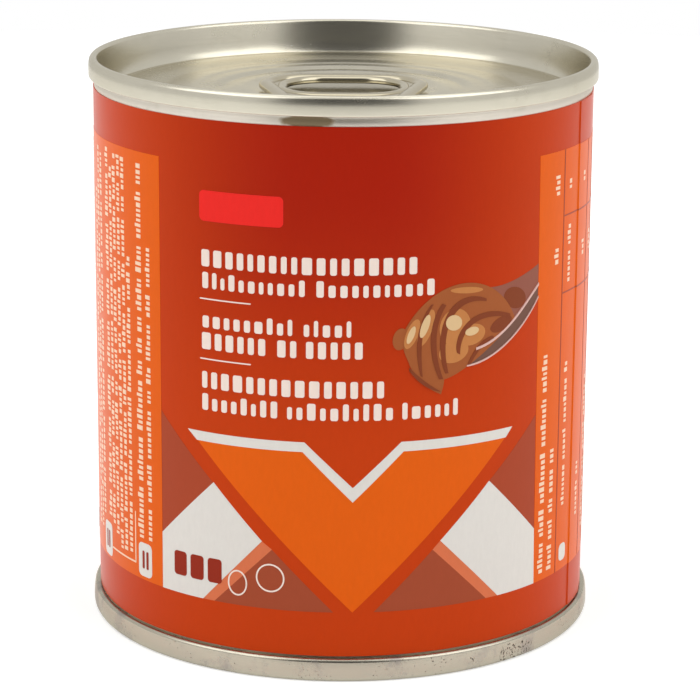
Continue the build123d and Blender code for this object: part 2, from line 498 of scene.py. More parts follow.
def finish(material, made, relief, surface, **changed):
    """Put a group's colour, roughness and relief on a material's shader, some of them changed."""
    tree, (depth, strength) = material.node_tree, relief
    bump = add_node(tree, "ShaderNodeBump", {
        "Height": made["Height"], "Distance": depth, "Strength": strength})
    fill(tree, tree.nodes["Principled BSDF"], {
        "Base Color": changed.get("color", made["Color"]),
        "Roughness": changed.get("rough", made["Roughness"]),
        "Normal": bump.outputs[0], **surface})
    return material


def near_mask(tree, angle, height, reach):
    """A ragged patch on the can, round a point given by its angle and height."""
    place = object_place(tree)[0]
    turn, radius = math.radians(angle), BASE_HIGH[0] / 1000
    centre = (radius * math.sin(turn), -radius * math.cos(turn), height / 1000)
    off = vector_node(tree, "MULTIPLY", vector_node(tree, "SUBTRACT", place, centre),
                      [1000 / length for length in reach])
    ragged = plus(tree, vector_node(tree, "LENGTH", off),
                  times(tree, noise(tree, place, 500.0, 3.0), 0.6))
    return ramp(tree, ragged, 1.4, 1.1)


def metal(name, clean, handled, rough, streaks=0.12, smudges=0.5, mark_colour=None, cover=0.0,
          grain=1500.0, mark=None, solid_mark=False):
    """Tinplate or steel, with an optional colour of marks in specks and one place that has most
    of it: dirt on the base, a brown patch on the bare wall.
    """
    material, tree = new_material(name)
    made = use_group(tree, "Rolled metal", metal_group, {
        "Clean": clean, "Handled": handled, "Roughness": rough, "Streaks": streaks,
        "Smudges": smudges})
    surface, changed = {"Metallic": 1.0, "Specular Tint": EDGE_TINT}, {}
    if mark_colour is not None:
        near = near_mask(tree, *mark)
        mask = use_group(tree, "Specks", speck_group, {
            "Scale": grain, "Cover": cover, "Near": near})["Mask"]
        if solid_mark:
            mask = math_node(tree, "MAXIMUM", mask, near)
        changed = {"color": mix(tree, mask, made["Color"], mark_colour),
                   "rough": mix(tree, mask, made["Roughness"], 0.7, "FLOAT")}
    return finish(material, made, METAL_RELIEF, surface, **changed)


def inked(material, tone, drift):
    """Put printed paper under its varnish on a material."""
    made = use_group(material.node_tree, "Printed paper", paper_group, {
        "Ink": tone, "Drift": drift, "Roughness": PAPER_ROUGH})
    return finish(material, made, PAPER_RELIEF, COAT)


def ground_ink_with_painted_shade(name, brick, painted_shade_red):
    """The label's ground: brick, with painted shade: a deeper red above the middle of the front,
    standing in for the dark surroundings reflected there.
    """
    material, tree = new_material(name)
    parts = object_place(tree)[1]
    # painted shade: the mask darkens the red towards the front, its middle and its top, where the
    # dark surroundings reflect
    front = ramp(tree, parts[1], -0.005, -0.03)
    middle = ramp(tree, math_node(tree, "ABSOLUTE", parts[0]), 0.034, 0.006)
    high = ramp(tree, parts[2], 0.030, 0.072)
    mask = times(tree, times(tree, front, middle), high)
    return inked(material, mix(tree, mask, brick, painted_shade_red), 0.08)


# ---- metal -----------------------------------------------------------------------------------
def seam_bore(sizes):
    """Radius of the sunk walls where they meet the seams."""
    return LID_HIGH[0] - sizes.seam_width


class CAN_OT_wall(bpy.types.Operator):
    """The tinplate wall, drawn in beside each seam"""
    bl_idname = "can.wall"
    bl_label = "Wall"

    def execute(self, context):
        s, c = in_mm(context.scene.can_sizes), context.scene.can_colours
        body, foot, top = WALL_HIGH[0], WALL_LOW[2], WALL_HIGH[2]
        neck, bore = body - s.neck_draw, seam_bore(s)
        inner_low, inner_high = BASE_HIGH[2], LID_LOW[2]
        profile = eased([
            (0, inner_low, 0), (bore, inner_low, 0), (bore, foot, 0), (neck, foot, 0),
            (neck, foot + 0.05, 0.05), (body, foot + 0.28, 0.12), (body, top - 0.9, 0.3),
            (neck, top - 0.35, 0.2), (neck, top, 0), (bore, top, 0),
            (bore, inner_high, 0), (0, inner_high, 0),
        ])
        # a brown patch on the bare wall just left of the front, below the upper seam, solid round
        # its place
        wall_patch = (-7.5, top - 0.75, (4.2, 6.0, 0.85))
        tin = metal("tinplate_wall", c.wall_bright, c.tin_bright, 0.42, mark_colour=c.wall_patch,
                    cover=0.1, mark=wall_patch, solid_mark=True)
        add_piece("can_wall", [turned(profile)], tin, ["can_body"])
        return {"FINISHED"}


class CAN_OT_lid(bpy.types.Operator):
    """The lid with its seam, sunk wall, pressed rings, score line and finger well"""
    bl_idname = "can.lid"
    bl_label = "Lid"

    def execute(self, context):
        s, c = in_mm(context.scene.can_sizes), context.scene.can_colours
        out, top, under = LID_HIGH[0], LID_HIGH[2], LID_LOW[2]
        foot, bore = WALL_HIGH[2], seam_bore(s)
        groove = top - s.lid_depth
        panel = groove + s.panel_rise
        floor, crown, score = panel - s.well_depth, panel + s.bead_height, panel - s.score_depth
        wall_foot = bore - s.wall_lean
        profile = eased([    # the finger well, the pressed rings, the score, the wall, the seam
            (0, floor, 0), (11.2, floor, 1.2), (14.2, panel + 0.1, 1.0), (17.3, floor, 0.5),
            (17.8, floor, 0.3), (s.well_radius, panel, 0.5),
            (20.9, panel, 0.4), (22.2, crown, 0.7), (25.7, panel - 0.26, 1.0),
            (26.5, panel - 0.26, 0.5), (29.4, crown, 0.9), (30.9, crown, 0.6),
            (32.4, panel - 0.06, 0.3),
            (32.75, panel, 0.05), (32.9, score, 0.08), (33.05, panel, 0.05),
            (s.panel_radius, panel, 0.3), (s.panel_radius + 0.5, groove, 0.3),
            (wall_foot, groove, 2.3),
            (bore, top, 0.45), (out - 0.42, top, 0.2), (out - 0.12, top - 0.32, 0.2),
            (out, top - 0.95, 0.5), (out, foot, 0.28),
            (WALL_HIGH[0] - 0.15, foot, 0.1), (bore, foot, 0),
            (bore, under, 0), (0, under, 0),
        ])
        tin = metal("tinplate_lid", c.tin_bright, c.tin_dull, 0.25, streaks=0.10, smudges=0.3)
        add_piece("lid", [turned(profile)], tin, ["top_end"])
        return {"FINISHED"}


class CAN_OT_base(bpy.types.Operator):
    """The base with its seam and its pressed ring"""
    bl_idname = "can.base"
    bl_label = "Base"

    def execute(self, context):
        s, c = in_mm(context.scene.can_sizes), context.scene.can_colours
        out, over, seam_top = BASE_HIGH[0], BASE_HIGH[2], WALL_LOW[2]
        bore = seam_bore(s)
        groove = s.base_depth
        panel = groove - s.base_rise
        bead = panel + s.base_bead
        profile = eased([
            (0, over, 0), (bore, over, 0), (bore, seam_top, 0), (out - 1.25, seam_top, 0),
            (out - 0.45, seam_top, 0.3), (out - 0.15, seam_top - 0.3, 0.2),
            (out, seam_top - 1.5, 0.9), (out, 0.45, 0.3),
            (out - 0.35, 0, 0.3), (bore + 0.35, 0, 0.3), (bore - 0.03, 0.45, 0.3),
            (bore - 0.7, groove, 0.5), (bore - 1.8, groove, 0.4), (bore - 2.3, panel, 0.4),
            (30.0, panel, 0.3), (29.2, panel + 0.15, 0.4), (28.4, panel, 0.3),
            (23.8, panel, 0.5), (21.8, bead, 0.9), (19.8, panel, 0.5), (0, panel, 0),
        ])
        grime = (42.0, 1.3, (3.8, 4.0, 1.6))
        tin = metal("tinplate_base", c.tin_dull, c.tin_foot, 0.25, smudges=1.0, mark_colour=c.mark_colour,
                    cover=0.56, grain=2600.0, mark=grime)
        add_piece("base", [turned(profile)], tin, ["bottom_end"])
        return {"FINISHED"}


class CAN_OT_ring_pull(bpy.types.Operator):
    """The ring pull and the rivet that holds it"""
    bl_idname = "can.ring_pull"
    bl_label = "Ring pull"

    def execute(self, context):
        s, c = in_mm(context.scene.can_pull), context.scene.can_colours
        nose, back = TAB_LOW[1], TAB_HIGH[1]
        under, top = TAB_LOW[2], TAB_HIGH[2]
        half = TAB_HIGH[0]
        ring_r, nose_r, corner = s.ring_corner, s.nose_corner, s.hole_corner
        nose_x = s.nose_width / 2 - nose_r
        centres = [(x, back - ring_r) for x in (half - ring_r, ring_r - half)]
        centres += [(x, nose + nose_r) for x in (nose_x, -nose_x)]
        radii = [ring_r, ring_r, nose_r, nose_r]
        hole_y = back - s.back_bar - s.hole_length / 2
        hx, hy = s.hole_width / 2 - corner, s.hole_length / 2 - corner
        hole_centres = [(x, hole_y + y) for x in (-hx, hx) for y in (-hy, hy)]
        curl, inner = s.outer_curl, s.hole_curl
        middle, thick = (under + top) / 2, s.web / 2

        edge = curled_edge(hull_path(centres, radii, 300, curl / 2), curl, under, top)
        loop = hull_path(hole_centres, [corner] * 4, 240, -inner / 2 + 0.05)
        front = smooth(hole_y - loop[:, 1], 1.0, 6.0)
        lip = curled_edge(loop, inner + 0.5 * front, under + 0.1, top - 0.18)

        turn = np.linspace(0, 2 * np.pi, 300, endpoint=False)
        aim = np.stack([np.cos(turn), np.sin(turn)], -1)
        rim = []
        for path in (hull_path(hole_centres, [corner] * 4, 720, -inner / 2),
                     hull_path(centres, radii, 720, curl / 2)):
            off = path - [0, hole_y]
            rim.append(np.interp(turn, np.arctan2(off[:, 1], off[:, 0]),
                                 np.hypot(off[:, 0], off[:, 1]), period=2 * np.pi))
        share = np.linspace(0, 1, 56)
        reach = rim[0][:, None] * (1 - share) + rim[1][:, None] * share
        flat = aim[:, None] * reach[..., None] + [0, hole_y]
        rivet_y = nose + s.rivet_setback
        off_x, off_y = flat[..., 0], flat[..., 1] - rivet_y
        away = np.hypot(off_x, off_y)
        slit = np.exp(-((away - 5.0) / 0.32) ** 2)
        slit *= smooth(off_y / np.maximum(away, 0.1), -0.55, -0.35)
        level = middle - 0.26 * slit
        upper = np.concatenate([flat, (level + thick)[..., None]], -1)
        lower = np.concatenate([flat, (level - thick)[..., None]], -1)
        web = ring_shell(np.concatenate([upper, lower[:, ::-1]], 1), wrap_cols=True)

        steel = metal("ring_pull_steel", c.steel, c.tin_dull, 0.17, streaks=0.1, smudges=0.4)
        add_piece("ring_pull", [edge, lip, web], steel, ["pull_tab"])

        head = s.rivet_head / 2
        seat = middle + thick + 0.05
        rivet = eased([
            (0, seat + 0.36, 0), (1.1, seat + 0.36, 0.4), (1.7, seat + 0.5, 0.4),
            (head - 0.7, seat + 0.5, 0.5), (head, seat + 0.15, 0.2), (head, seat, 0.05),
            (2.3, seat, 0), (2.3, LID_HIGH[2] - 4.9, 0), (0, LID_HIGH[2] - 4.9, 0),
        ])
        tin = metal("rivet_tinplate", c.tin_bright, c.tin_dull, 0.2)
        add_piece("rivet", [turned(rivet, (0, rivet_y), 120)], tin)
        return {"FINISHED"}


# ---- label -----------------------------------------------------------------------------------
def paper_radius(angle):
    """Outside of the paper: one sheet, and a second one from the lap's edge to where it ends.

    The edge of the lap is a short straight slope; where the sheet below starts, the paper
    eases down.
    """
    s = bpy.context.scene.can_label
    edge, paper = math.degrees(s.lap_angle), 1000 * s.paper
    width = math.degrees(s.lap_width / (LABEL_HIGH[0] / 1000))
    step = np.clip((angle - edge) / LAP_SLOPE, 0, 1)
    step = step * (1 - smooth(angle, edge + width - 1.5, edge + width))
    return -LABEL_LOW[0] + paper * step


def on_label(angle, height, lift):
    """Points on the label: angle from the front, height, and how far they stand off the paper."""
    r, a = paper_radius(angle) + lift, np.radians(angle)
    return np.stack([r * np.sin(a), -r * np.cos(a), height + 0 * a], -1)


def both_sides(angle, height, layer):
    """The outer and inner points of a plate of ink in a numbered layer."""
    lift = 1000 * bpy.context.scene.can_label.ink
    return on_label(angle, height, layer * lift), on_label(angle, height, -INK_ROOT)


def printed(angle, height, layer):
    """A thin closed plate of ink over a grid of angles and heights, in a numbered layer."""
    return plate_shell(*both_sides(angle, height, layer))


def patch(corners, layer=1):
    """A four-sided field: the straight blend of its corners, given in order round it."""
    a, b, c, d = np.array(corners, float)
    along = int(np.ceil(max(abs(a[0] - b[0]), abs(d[0] - c[0])) / PRINT_STEP)) + 2
    over = int(np.ceil(max(abs(a[0] - d[0]), abs(b[0] - c[0])) / PRINT_STEP)) + 2
    u = np.linspace(0, 1, along)[:, None, None]
    v = np.linspace(0, 1, over)[None, :, None]
    p = (1 - u) * (1 - v) * a + u * (1 - v) * b + u * v * c + (1 - u) * v * d
    return printed(p[..., 0], p[..., 1], layer)


def field(left, right, low, high, layer=1):
    """A field with upright sides."""
    return patch([(left, low), (right, low), (right, high), (left, high)], layer)


def bar(left, right, low, high, rounding, layer=2):
    """A rounded bar: at the distance d from an end its half height is H - r + sqrt(r^2-(r-d)^2),
    where H is the bar's own half height and r the rounding."""
    length, half = (right - left) * DEGREE, (high - low) / 2
    r = min(rounding, half, length / 2)
    ends = r * (1 - np.cos(np.linspace(0, np.pi / 2, 6)))
    run = np.linspace(r, length - r, max(2, int((length - 2 * r) / DEGREE / PRINT_STEP) + 2))
    s = np.concatenate([ends[:-1], run, length - ends[-2::-1]])
    d = np.clip(np.minimum(s, length - s), 0, r)
    h = half - r + np.sqrt(np.maximum(r ** 2 - (r - d) ** 2, 0))
    v = np.linspace(-1, 1, 3)[None, :]
    angle = np.broadcast_to((left + s / DEGREE)[:, None], (len(s), 3))
    return printed(angle, (low + high) / 2 + h[:, None] * v, layer)


def bezier(points, steps):
    """A smooth curve drawn to its ends and pulled by the points between them."""
    p = np.array(points, float)
    n = len(p) - 1
    t = np.linspace(0, 1, steps)[:, None]
    k = np.arange(n + 1)
    weight = np.array([math.comb(n, int(i)) for i in k]) * t ** k * (1 - t) ** (n - k)
    return weight @ p


def ribbon(one_side, other_side, layer=2, steps=28):
    """A field between two smooth curves, ruled straight across from one to the other."""
    a, b = bezier(one_side, steps)[:, None], bezier(other_side, steps)[:, None]
    v = np.linspace(0, 1, 4)[None, :, None]
    p = a * (1 - v) + b * v
    return printed(p[..., 0], p[..., 1], layer)


def oval(angle, height, wide, high, tilt=0.0, layer=3):
    """An oval field: rings of points (u cos t, u sin t), stretched and tilted, round a centre."""
    t = np.linspace(0, 2 * np.pi, 32, endpoint=False)[:, None]
    u = np.linspace(0, 1, 4)[None, :]
    x, y = wide * u * np.cos(t), high * u * np.sin(t)
    turn = math.radians(tilt)
    a = angle + (x * math.cos(turn) - y * math.sin(turn)) / DEGREE
    z = height + x * math.sin(turn) + y * math.cos(turn)
    outer, inner = both_sides(a, z, layer)
    return ring_shell(np.concatenate([outer, inner[:, ::-1]], 1))


def outline(angle, height, wide, high, stroke, layer=3):
    """A thin oval line: a band between two ovals, closed all round."""
    t = np.linspace(0, 2 * np.pi, 40, endpoint=False)[:, None]
    grow = np.array([0.0, -stroke])[None, :]
    a = angle + (wide + grow) * np.cos(t) / DEGREE
    outer, inner = both_sides(a, height + (high + grow) * np.sin(t), layer)
    return ring_shell(np.concatenate([outer, inner[:, ::-1]], 1), wrap_cols=True)


def blocks(boxes, layer=2):
    """Many small square plates at once, from rows of left, right, low and high."""
    left, right, low, high = np.array(boxes, float).T
    angle = np.stack([left, right, right, left], 1)
    height = np.stack([low, low, high, high], 1)
    points = np.concatenate(both_sides(angle, height, layer), 1)
    faces = np.array([[0, 1, 2, 3], [7, 6, 5, 4], [1, 0, 4, 5], [2, 1, 5, 6], [3, 2, 6, 7],
                      [0, 3, 7, 4]])
    start = 8 * np.arange(len(left))[:, None, None]
    return points.reshape(-1, 3), (faces[None] + start).reshape(-1, 4)


def dashes(length, pitch, draw):
    """Starts and ends of dashes along a line: runs of 3 to 9, with a gap between the runs."""
    count = int(length / pitch * 1.2) + 4
    wide = pitch * draw.uniform(0.8, 1.2, count)
    start = np.concatenate([[0], np.cumsum(wide)[:-1]])
    gap = np.isin(np.arange(count), np.cumsum(draw.integers(4, 11, count)))
    kept = ~gap & (start + wide <= length)
    return start[kept], (start + wide)[kept] - 0.36 * pitch


def add_print(name, shells, tone, drift=0.10):
    """A printed piece in one colour of ink."""
    add_piece(name, shells, inked(new_material(name)[0], tone, drift))


class CAN_OT_label(bpy.types.Operator):
    """The paper sleeve round the can, with its lap"""
    bl_idname = "can.label"
    bl_label = "Label"

    def execute(self, context):
        c, edge = context.scene.can_colours, math.degrees(context.scene.can_label.lap_angle)
        angle = np.linspace(-180, 180, ROUND_STEPS, endpoint=False)
        angle = np.sort(np.concatenate([angle, [edge, edge + LAP_SLOPE]]))
        low, high, ease = LABEL_LOW[2], LABEL_HIGH[2], 0.05
        lift = [-0.15, 0, 0] + [0] * 40 + [0, 0, -0.15]
        height = [low, low, low + ease, *np.linspace(low + 0.5, high - 0.5, 40),
                  high - ease, high, high]
        angle, lift = np.broadcast_arrays(angle[:, None], np.array(lift)[None, :])
        height = np.broadcast_to(np.array(height), angle.shape)
        outer = on_label(angle, height, lift)
        bore = WALL_HIGH[0] + 0.001
        flat = np.radians(angle[:, :1])
        inner = [np.concatenate([bore * np.sin(flat), -bore * np.cos(flat),
                                 np.full_like(flat, z)], 1)[:, None] for z in (high, low)]
        grid = np.concatenate([outer, *inner], 1)
        # the ground carries painted shade above the middle of the front
        paper = ground_ink_with_painted_shade("label_ground", c.brick, c.painted_shade_red)
        add_piece("label_sleeve", [ring_shell(grid, wrap_cols=True)], paper,
                  ["label"])
        return {"FINISHED"}


PANEL_LOW, PANEL_HIGH = 10.1, 73.1    # lower and upper edge of the side panels, in mm


class CAN_OT_fields(bpy.types.Operator):
    """The fields of colour on the label's front"""
    bl_idname = "can.fields"
    bl_label = "Colour fields"

    def execute(self, context):
        c, foot = context.scene.can_colours, PANEL_LOW
        add_print("print_arrow", [
            patch([(2.7, foot), (2.6, 26.3), (-8.5, 33.6), (-33.5, 33.6)]),
            patch([(2.6, 26.3), (2.7, foot), (39.3, 33.6), (13.8, 33.6)]),
        ], c.orange, 0.08)
        add_print("print_white_fields", [
            patch([(-44, foot), (-44, 18.5), (-29.2, 27.7), (-32.1, foot)], 2),
            patch([(-32.1, foot), (-29.2, 27.7), (-17.5, 20), (-17.5, 20)], 2),
            patch([(37.8, foot), (34.8, 27.6), (49.4, 18.5), (49.7, foot)], 2),
            patch([(22.5, 19.9), (34.8, 27.6), (37.8, foot), (37.8, foot)], 2),
        ], c.white, 0.03)
        add_print("print_broken_line", [
            patch([(-33.5, 33.5), (-8.4, 33.5), (-8.0, 34.9), (-36, 34.9)], 2),
            patch([(-8.4, 33.5), (2.6, 26.3), (2.6, 28.4), (-8.0, 34.9)], 2),
            patch([(2.6, 26.3), (13.7, 33.5), (13.2, 34.9), (2.6, 28.4)], 2),
            patch([(13.7, 33.5), (39.3, 33.5), (41.2, 34.9), (13.2, 34.9)], 2),
        ], c.white, 0.03)
        add_print("print_upper_brown", [
            patch([(-44, 18.5), (-29.1, 27.5), (-44, 36.6), (-44, 36.6)]),
            patch([(49.4, 18.5), (49.0, 35.6), (34.7, 27.5), (34.7, 27.5)]),
        ], c.brown)
        add_print("print_lower_brown", [
            patch([(-29.1, foot), (-15.2, 18.9), (-1.5, foot), (-1.5, foot)]),
            patch([(7.4, foot), (20.7, 18.7), (34.5, foot), (34.5, foot)]),
        ], c.low_brown)
        add_print("print_strips", [
            patch([(-32.1, foot), (-17.5, 20), (-15.2, 18.9), (-29.1, foot)]),
            patch([(22.5, 19.9), (37.8, foot), (34.5, foot), (20.7, 18.7)]),
        ], c.salmon)
        add_print("print_badge", [bar(-32.5, -12.7, 65.1, 69.4, 0.7)],
                  c.badge, 0.03)
        return {"FINISHED"}


WIDE_BLOCK, BLOCK = 2.75, 2.35     # width of a block in capitals and in other lines, in degrees
LOW_BLOCK = 0.74                   # height of a low block, as a share of its line's height

# each line of the front: (low, high, capitals, the angles where its runs start and end)
LINES = [
    (58.7, 61.1, True, [(-32.5, 16.7)]),
    (55.6, 57.9, False, [(-32.3, -7.5), (-6.0, 20.7)]),
    (50.0, 52.3, False, [(-32.3, -10.2), (-8.7, 2.5)]),
    (46.9, 49.3, True, [(-32.5, -16.2), (-14.5, -9.3), (-8.2, 5.0)]),
    (41.3, 43.7, True, [(-32.5, 9.7)]),
    (38.1, 40.5, False, [(-32.5, -13.5), (-12.3, 11.7), (12.8, 26.7)]),
]


class CAN_OT_lines(bpy.types.Operator):
    """Rows of plain blocks where the front's lines of words are, and the rules between them"""
    bl_idname = "can.lines"
    bl_label = "Front lines"

    def execute(self, context):
        c = context.scene.can_colours
        draw = np.random.default_rng(5)
        shells = []
        for low, high, capitals, runs in LINES:
            for left, right in runs:
                count = round((right - left) / (WIDE_BLOCK if capitals else BLOCK))
                share = draw.uniform(0.82, 1.18, count)
                ends = left + (right - left) * np.cumsum(share) / share.sum()
                starts = np.concatenate([[left], ends[:-1]])
                tall = draw.random(count) < (1.0 if capitals else 0.3)
                for a, b, t in zip(starts, ends, tall):
                    over = high if t else low + LOW_BLOCK * (high - low)
                    shells.append(bar(a + 0.5, b - 0.5, low, over, 0.3))
        shells += [bar(-32.5, -20, z - 0.09, z + 0.09, 0.09) for z in (54.1, 45.5)]
        add_print("print_word_blocks", shells, c.lines, 0.03)
        add_print("print_weight_bars", [
            bar(a, a + 3.6, 12.8, 16.4, 0.5, 3) for a in (-40.2, -35.5, -30.8)
        ], c.dark_red, 0.05)
        add_print("print_outlines", [
            outline(-23.3, 13.4, 1.5, 1.9, 0.22), outline(-15.6, 14.7, 2.1, 2.1, 0.22)
        ], c.lines, 0.03)
        return {"FINISHED"}


SMALL_PITCH = 0.82                 # length of a small mark with its gap, in mm
# the columns of small marks: angle, width in degrees, lower and upper end in mm
COLUMNS = [
    (-51.5, 2.6, 16.4, 72.6), (-48.2, 1.9, 16.4, 60.2),
    (-55.9, 1.9, 13.5, 58.4), (-58.2, 1.9, 13.3, 72.5), (-60.4, 1.9, 13.2, 72.5),
    (-62.6, 1.9, 15.0, 72.5), (-64.8, 1.9, 16.2, 70.5), (-67.2, 2.3, 17.0, 72.6),
    (-72.0, 2.0, 16.5, 72.5), (-74.5, 2.0, 14.0, 72.5), (-77.0, 2.0, 14.0, 66.0),
    (-84.0, 2.4, 16.5, 72.5), (-86.8, 2.0, 16.5, 70.0), (-89.3, 2.0, 16.5, 58.0),
    (-98.0, 2.4, 16.5, 71.0), (-100.8, 2.0, 16.5, 72.0), (-103.3, 2.0, 16.5, 44.0),
    (-112.0, 2.4, 16.5, 70.0), (-114.8, 2.0, 16.5, 72.0), (-117.3, 2.0, 16.5, 60.0),
    (52.3, 2.4, 11.2, 45.4), (56.0, 2.4, 11.2, 30.3), (56.0, 2.2, 56.8, 59.6),
    (56.0, 2.2, 66.8, 70.0), (62.0, 1.9, 20.0, 42.5), (62.0, 1.9, 53.6, 62.6),
    (62.0, 1.9, 67.2, 69.2), (70.5, 1.9, 56.5, 59.8), (70.5, 1.9, 67.4, 69.2),
    (70.5, 1.9, 17.0, 26.0), (77.0, 1.9, 56.5, 59.8), (77.0, 1.9, 14.0, 38.0),
    (84.0, 1.9, 56.5, 59.8), (84.0, 1.9, 14.0, 34.0), (91.0, 1.9, 56.5, 59.8),
    (91.0, 1.9, 14.0, 42.0), (98.0, 1.9, 56.5, 59.8), (98.0, 1.9, 14.0, 30.0),
    (108.0, 2.4, 13.0, 70.0), (111.0, 2.0, 13.0, 70.0), (114.0, 2.0, 13.0, 52.0),
]
# the white tabs: sides in degrees, lower and upper edge in mm; the last carries no strokes
TABS = [(-52.8, -47.8, 10.6, 15.7), (-72.0, -66.6, 10.5, 15.6),
        (-88.0, -82.6, 10.5, 15.6), (-102.0, -96.6, 10.5, 15.6),
        (-116.0, -110.6, 10.5, 15.6), (60.7, 64.3, 11.4, 14.0)]


class CAN_OT_panels(bpy.types.Operator):
    """The orange information panels at the sides, with plain marks for their small print"""
    bl_idname = "can.panels"
    bl_label = "Side panels"

    def execute(self, context):
        c = context.scene.can_colours
        draw = np.random.default_rng(11)
        edge = math.degrees(context.scene.can_label.lap_angle)
        low, high = PANEL_LOW, PANEL_HIGH
        add_print("print_panels", [
            field(-132, -44.1, low, high),
            patch([(49.7, low), (edge, low), (edge, high), (48.6, high)]),
            field(edge, edge + LAP_SLOPE, low, high), field(edge + LAP_SLOPE, 140, low, high),
        ], c.orange, 0.08)

        boxes = []
        for angle, wide, start, stop in COLUMNS:
            a, b = dashes(stop - start, SMALL_PITCH, draw)
            left = angle - wide * np.where(draw.random(len(a)) < 0.3, 0.52, 0.3)
            boxes.append(np.stack([left, angle + wide * 0.3 + 0 * a, start + a, start + b], 1))
        rows = np.concatenate(boxes)
        rows = rows[~((rows[:, 0] < edge) & (rows[:, 1] > edge))]
        add_print("print_small_marks", [blocks(rows)], c.small, 0.03)

        add_print("print_tabs", [bar(*tab, 0.8) for tab in TABS], c.white, 0.03)
        add_print("print_tab_bars", [
            bar(tab[0] + x, tab[0] + x + 0.8, tab[2] + 1.2, tab[3] - 1.2, 0.2, 3)
            for x in (1.5, 3.0) for tab in TABS[:-1]], c.dark_red, 0.05)

        thin = [patch([(58.8, low), (59.2, low), (59.0, high), (58.6, high)], 2)]
        for z in (63.5, 52.2):
            stops = (59.0, edge, edge + LAP_SLOPE, 104.0)
            thin += [field(a, b, z - 0.11, z + 0.11, 2) for a, b in zip(stops, stops[1:])]
        thin += [field(a, a + 0.3, low, high, 2) for a in (73.5, 80.5, 87.5, 94.5, 104.0)]
        add_print("print_table_rules", thin, c.brown, 0.05)
        add_print("print_bracket", [bar(-66.4, -54.0, 12.1, 12.35, 0.1),
                                    bar(-54.25, -53.9, 12.2, 20.0, 0.1)], c.small, 0.03)
        return {"FINISHED"}


class CAN_OT_spoon(bpy.types.Operator):
    """The spoon of caramel, drawn with plain curved fields

    Every point is an angle from the label's front, in degrees, and a height in millimetres.
    """
    bl_idname = "can.spoon"
    bl_label = "Spoon and caramel"

    def execute(self, context):
        c = context.scene.can_colours
        brim = [(31.5, 56.0), (36.25, 55.25), (40.25, 56.0), (45.0, 56.75), (48.8, 57.75)]
        rim_up = [(30.5, 47.45), (35.5, 48.0), (40.0, 49.75), (44.5, 52.75), (48.8, 55.0)]
        rim_low = [(28.25, 44.875), (34.25, 45.0), (40.0, 47.25), (45.0, 49.75), (48.8, 52.875)]
        add_print("print_spoon_inside", [ribbon(brim, rim_up, 1)], c.spoon_inside)
        add_print("print_spoon_outside", [ribbon(rim_up, rim_low, 1)], c.spoon_outside)
        add_print("print_spoon_shade", [
            oval(41.25, 53.625, 2.2, 1.5, -20, 2), oval(37.25, 50.25, 2.0, 1.0, 18, 4),
            ribbon([(28.25, 45.0), (30.0, 47.5), (32.5, 48.75), (35.0, 48.75)],
                   [(29.0, 45.0), (30.75, 47.0), (33.0, 48.0), (35.25, 48.4)], 5),
        ], c.caramel_dark)

        def edge_line(points, drop):
            """A thin line along a smooth curve, between it and the same curve set lower."""
            return ribbon(points, [(a, z - drop) for a, z in points], 6)

        add_print("print_spoon_rim", [edge_line(rim_up, 0.375), edge_line(rim_low, -0.225)],
                  c.spoon_rim)
        add_print("print_caramel", [
            ribbon([(12.75, 49.75), (16.25, 54.75), (23.0, 58.5), (31.5, 58.25), (38.0, 55.25),
                    (41.25, 50.75)],
                   [(13.125, 49.0), (14.25, 44.0), (22.0, 39.75), (25.0, 45.0), (31.5, 45.0),
                    (41.25, 50.75)], 3, 48),
            ribbon([(14.625, 46.0), (17.0, 43.0), (19.75, 42.0), (22.1, 41.3)],
                   [(16.5, 47.0), (21.5, 45.0), (24.0, 45.0), (22.15, 41.5)], 3),
            oval(12.65, 49.6, 1.05, 1.55, -12, 3),
        ], c.caramel)
        add_print("print_caramel_light", [oval(*place, 4) for place in (
            (15.25, 50.25, 0.85, 2.2, -22), (18.375, 51.0, 0.95, 2.7, -20),
            (25.25, 50.75, 2.4, 2.6, -12), (25.0, 47.25, 2.3, 1.6, 10),
            (29.25, 49.375, 2.3, 1.5, 8), (28.0, 55.8, 2.6, 0.45, -4))], c.caramel_light)
        add_print("print_caramel_folds", [ribbon(*sides, 5) for sides in (
            ([(19.5, 54.25), (16.0, 51.5), (15.75, 48.0), (17.25, 44.25)],
             [(20.0, 54.25), (17.25, 51.5), (17.0, 48.0), (17.75, 44.0)]),
            ([(22.0, 54.25), (18.75, 51.5), (18.75, 47.5), (21.5, 43.5)],
             [(23.0, 54.0), (20.25, 51.5), (20.0, 47.5), (22.5, 43.5)]),
            ([(33.0, 54.25), (26.0, 56.25), (20.0, 53.5), (21.0, 47.0), (23.0, 44.25)],
             [(33.0, 53.875), (26.5, 55.0), (22.0, 52.75), (22.25, 47.5), (23.75, 44.25)]),
            ([(39.75, 51.5), (32.5, 53.25), (26.5, 52.5), (24.75, 48.5), (25.75, 47.0)],
             [(39.75, 51.0), (32.75, 52.25), (27.75, 51.75), (26.25, 48.5), (26.5, 46.75)]),
            ([(14.75, 45.5), (17.25, 43.75), (20.0, 42.5), (22.0, 41.75)],
             [(14.75, 45.0), (17.25, 42.75), (19.75, 42.0), (22.0, 41.7)]))], c.caramel_dark)
        add_print("print_caramel_gleams", [oval(*place, 6) for place in (
            (15.0, 50.125, 0.45, 1.3, -22), (18.125, 51.25, 0.55, 1.7, -20),
            (24.875, 51.375, 1.25, 1.1, -12), (29.375, 49.875, 1.1, 0.6, 8))], c.caramel_gleam)
        return {"FINISHED"}


# ---- stage -----------------------------------------------------------------------------------
def softbox(name, place, power):
    """A soft lamp that lights the can and shows in its metal, but not in the picture."""
    lamp = bpy.data.lights.new(name, "AREA")
    lamp.shape, lamp.energy = "RECTANGLE", power
    lamp.size, lamp.size_y = LAMP_SIZE
    made = bpy.data.objects.new(name, lamp)
    made.location = place
    way = np.array(LAMP_AIM) - np.array(place)
    made.rotation_euler = (math.atan2(math.hypot(way[0], way[1]), -way[2]), 0,
                           math.atan2(-way[0], way[1]))
    made.visible_camera = False
    bpy.context.scene.collection.objects.link(made)


